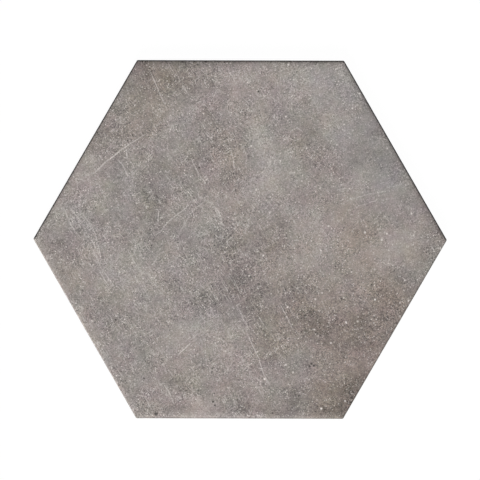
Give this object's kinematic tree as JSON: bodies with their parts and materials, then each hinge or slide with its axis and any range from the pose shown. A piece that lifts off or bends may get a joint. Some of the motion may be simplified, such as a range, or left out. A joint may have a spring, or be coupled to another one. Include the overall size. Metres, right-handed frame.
{
  "type": "porcelain tile",
  "caption": "Regular hexagonal porcelain stoneware floor tile with a scratched, clouded cement-look face, softly rounded edges and a shallow honeycomb key pattern pressed into its back",
  "frame": {"origin": "middle of the flat back, on the surface the tile lies on", "axes": "+Z out of the face, +X towards one of the six corners, +Y square to one of the six sides"},
  "size_m": [0.2768, 0.24, 0.0095],
  "materials": {
    "porcelain": "matt, cement look: warm grey clouded with taupe, olive and mauve, with pale scratches and fine pale specks"
  },
  "bodies": {
    "root": {"hexagonal_tile": "porcelain"}
  },
  "joints": []
}
